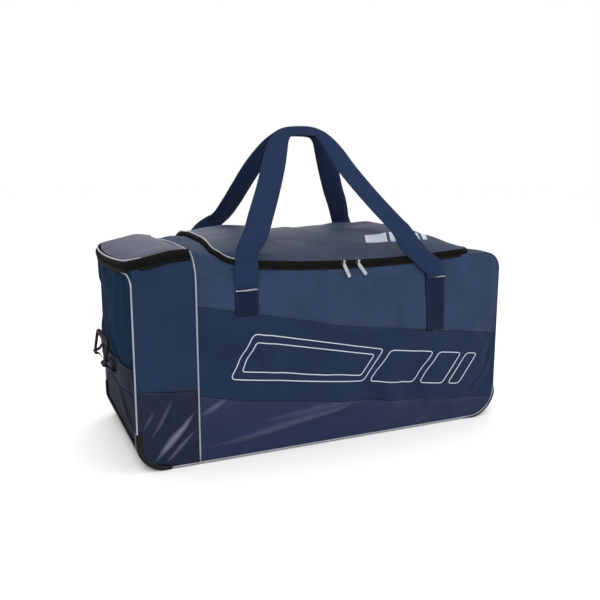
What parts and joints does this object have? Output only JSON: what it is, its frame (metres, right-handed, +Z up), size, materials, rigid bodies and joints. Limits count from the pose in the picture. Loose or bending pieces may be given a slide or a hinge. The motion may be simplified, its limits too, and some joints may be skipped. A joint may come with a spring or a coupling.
{
  "type": "hockey equipment bag",
  "caption": "Wheeled soft hockey equipment bag with zipped main lid, end skate pocket with its own lid, raised webbing carry handles and an end haul handle.",
  "frame": {"origin": "on the floor, below the middle of the body between its end seams and side panels", "axes": "+X along the bag from the skate pocket to the wheels, -Y the front with the main zip, +Z up"},
  "size_m": [0.893, 0.4024, 0.6699],
  "materials": {
    "navy_fabric": "woven polyester, matt",
    "navy_band": "woven polyester, matt, darker",
    "coated_base": "coated fabric, satin",
    "coated_lid": "coated ripstop fabric, satin",
    "webbing": "woven webbing",
    "dark_webbing": "woven webbing, dark",
    "black_webbing": "woven webbing, black",
    "piping": "silver corded piping",
    "zip_tape": "black zip tape and coil",
    "board": "stiff sheet",
    "black_plastic": "moulded, fine grain",
    "hub": "moulded",
    "tyre": "cast rubber",
    "steel": "zinc plated",
    "slider_metal": "black enamel",
    "pull": "soft coated tab"
  },
  "bodies": {
    "shell": {"back_axle": "steel", "back_lower_panel": "coated_base", "back_middle_panel": "navy_band", "back_piping": "piping", "back_pocket_panel": "navy_band", "back_strap_patches": "webbing", "back_upper_panel": "navy_fabric", "base_board": "board", "base_panel": "coated_base", "chassis_screws": "steel", "end_skid": "black_plastic", "front_axle": "steel", "front_lower_panel": "coated_base", "front_middle_panel": "navy_band", "front_piping": "piping", "front_pocket_panel": "navy_band", "front_strap_patches": "webbing", "front_upper_panel": "navy_fabric", "haul_anchors": "black_webbing", "left_end_band": "dark_webbing", "left_end_lower_panel": "coated_base", "left_end_upper_panel": "navy_band", "left_yoke_panel": "navy_fabric", "lid_hinge_strip": "navy_fabric", "main_zip_body_tape": "zip_tape", "partition_panel": "navy_fabric", "partition_piping": "piping", "pocket_zip_body_tape": "zip_tape", "right_end_lower_panel": "coated_base", "right_end_upper_panel": "navy_fabric", "right_yoke_panel": "navy_fabric", "wheel_chassis": "black_plastic"},
    "main_lid": {"main_lid": "coated_lid", "main_zip_lid_tape": "zip_tape"},
    "pocket_lid": {"pocket_lid": "coated_lid", "pocket_zip_lid_tape": "zip_tape"},
    "front_roots": {"front_handle_roots": "webbing"},
    "front_loop": {"front_handle_loop": "webbing"},
    "back_roots": {"back_handle_roots": "webbing"},
    "back_loop": {"back_handle_loop": "webbing"},
    "front_wheel": {"front_wheel_tyre": "tyre", "front_wheel_hub": "hub"},
    "back_wheel": {"back_wheel_tyre": "tyre", "back_wheel_hub": "hub"},
    "left_slider": {"main_slider_left": "slider_metal"},
    "left_pull": {"main_pull_left": "pull"},
    "right_slider": {"main_slider_right": "slider_metal"},
    "right_pull": {"main_pull_right": "pull"},
    "rear_slider": {"pocket_slider": "slider_metal"},
    "rear_pull": {"pocket_pull": "pull"},
    "haul": {"haul_handle": "black_plastic"}
  },
  "joints": [
    {"name": "main_lid_hinge", "type": "hinge", "parent": "shell", "child": "main_lid", "pos_m": [0.048, 0.18, 0.39115], "axis": [-1, 0, 0], "range_deg": [0, 105]},
    {"name": "pocket_lid_hinge", "type": "hinge", "parent": "shell", "child": "pocket_lid", "pos_m": [-0.30524, 0, 0.42331], "axis": [0, 1, 0], "range_deg": [0, 105]},
    {"name": "front_root_swing", "type": "hinge", "parent": "shell", "child": "front_roots", "pos_m": [0, -0.195, 0.344], "axis": [1, 0, 0], "range_deg": [0, 80]},
    {"name": "back_root_swing", "type": "hinge", "parent": "shell", "child": "back_roots", "pos_m": [0, 0.195, 0.344], "axis": [-1, 0, 0], "range_deg": [0, 80]},
    {"name": "front_loop_swing", "type": "hinge", "parent": "front_roots", "child": "front_loop", "pos_m": [0, -0.195, 0.45], "axis": [1, 0, 0], "range_deg": [0, 150]},
    {"name": "back_loop_swing", "type": "hinge", "parent": "back_roots", "child": "back_loop", "pos_m": [0, 0.195, 0.45], "axis": [-1, 0, 0], "range_deg": [0, 150]},
    {"name": "front_wheel_spin", "type": "hinge", "parent": "shell", "child": "front_wheel", "pos_m": [0.392, -0.145, 0.038], "axis": [0, 1, 0], "continuous": true},
    {"name": "back_wheel_spin", "type": "hinge", "parent": "shell", "child": "back_wheel", "pos_m": [0.392, 0.145, 0.038], "axis": [0, 1, 0], "continuous": true},
    {"name": "left_slider_run", "type": "slide", "parent": "shell", "child": "left_slider", "axis": [-1, 0, 0], "range_m": [0, 0.155]},
    {"name": "right_slider_run", "type": "slide", "parent": "shell", "child": "right_slider", "axis": [1, 0, 0], "range_m": [0, 0.11]},
    {"name": "left_pull_swing", "type": "hinge", "parent": "left_slider", "child": "left_pull", "pos_m": [0.011, -0.1991, 0.39], "axis": [-1, 0, 0], "range_deg": [0, 110]},
    {"name": "right_pull_swing", "type": "hinge", "parent": "right_slider", "child": "right_pull", "pos_m": [0.045, -0.1991, 0.39], "axis": [-1, 0, 0], "range_deg": [0, 110]},
    {"name": "pocket_slider_run", "type": "slide", "parent": "shell", "child": "rear_slider", "axis": [-0.9773, 0, -0.2118], "range_m": [0, 0.085]},
    {"name": "haul_swing", "type": "hinge", "parent": "shell", "child": "haul", "pos_m": [-0.4575, 0, 0.19], "axis": [0, -1, 0], "range_deg": [0, 150]},
    {"name": "pocket_pull_swing", "type": "hinge", "parent": "rear_slider", "child": "rear_pull", "pos_m": [-0.31411, 0.1991, 0.41699], "axis": [0.9773, 0, 0.2118], "range_deg": [0, 110]}
  ],
  "couplings": [
    {"joint": "front_root_swing", "follows": "main_lid_hinge", "ratio": 0.75},
    {"joint": "back_root_swing", "follows": "main_lid_hinge", "ratio": 0.75}
  ]
}
